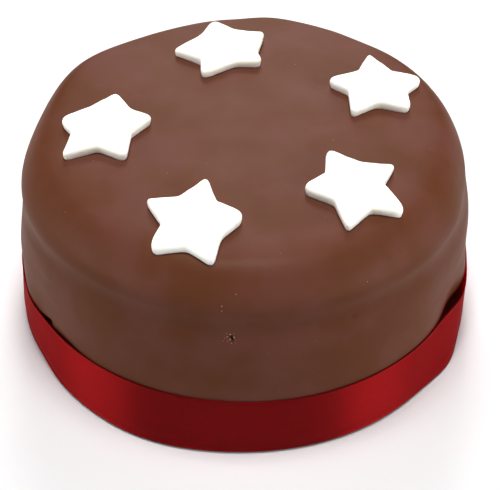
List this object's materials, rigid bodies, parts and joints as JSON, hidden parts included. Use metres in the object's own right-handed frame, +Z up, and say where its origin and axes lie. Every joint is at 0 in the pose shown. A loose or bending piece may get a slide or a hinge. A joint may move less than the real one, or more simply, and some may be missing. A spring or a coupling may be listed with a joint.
{
  "type": "round chocolate sugarpaste cake with white stars and a red ribbon",
  "caption": "Round celebration cake covered in chocolate sugarpaste, topped with thick white sugarpaste stars and wrapped at its foot in red satin ribbon.",
  "frame": {"origin": "middle of the cake's footprint, on the surface that it stands on", "axes": "+Z up out of the cake's top; -Y is the side that faces the camera in the picture; +X is to the right there"},
  "size_m": [0.1836, 0.1852, 0.0852],
  "materials": {
    "chocolate_paste": "smooth satin chocolate sugarpaste",
    "white_paste": "soft matt white sugarpaste",
    "red_satin": "woven satin, soft sheen"
  },
  "bodies": {
    "root": {"cake": "chocolate_paste", "ribbon": "red_satin", "star_left": "white_paste", "star_front": "white_paste", "star_right": "white_paste", "star_back_right": "white_paste", "star_back_left": "white_paste"}
  },
  "joints": []
}
